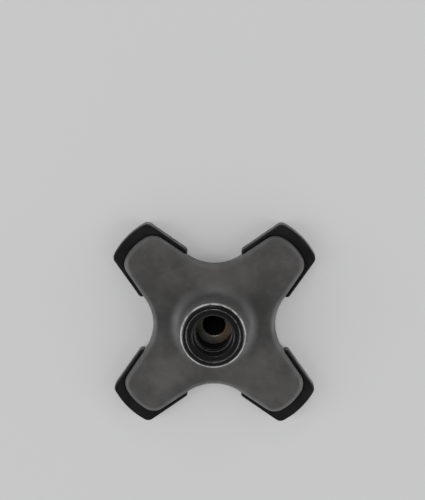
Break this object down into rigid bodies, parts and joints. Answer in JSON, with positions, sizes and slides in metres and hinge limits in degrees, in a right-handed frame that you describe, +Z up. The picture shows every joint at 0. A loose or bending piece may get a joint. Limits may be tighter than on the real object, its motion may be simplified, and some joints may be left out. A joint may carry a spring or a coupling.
{
  "type": "quad cane tip",
  "caption": "Rubber cane tip with an X of splayed arms on separate foot pads, and a tall round ringed socket with a steel washer, so that a cane stands by itself.",
  "frame": {"origin": "on the socket's axis, in the plane of the four soles", "axes": "+Z up along the socket towards its mouth, the four arms on the diagonals between X and Y, -Y to the front"},
  "size_m": [0.1064, 0.1064, 0.038],
  "materials": {
    "body_rubber": "satin moulded charcoal rubber",
    "pad_rubber": "near-black rubber, slightly shiny",
    "washer_steel": "plated steel, a little tarnished"
  },
  "bodies": {
    "root": {"tip_body": "body_rubber", "steel_washer": "washer_steel", "foot_pad_rear_right": "pad_rubber", "foot_pad_rear_left": "pad_rubber", "foot_pad_front_left": "pad_rubber", "foot_pad_front_right": "pad_rubber"}
  },
  "joints": []
}
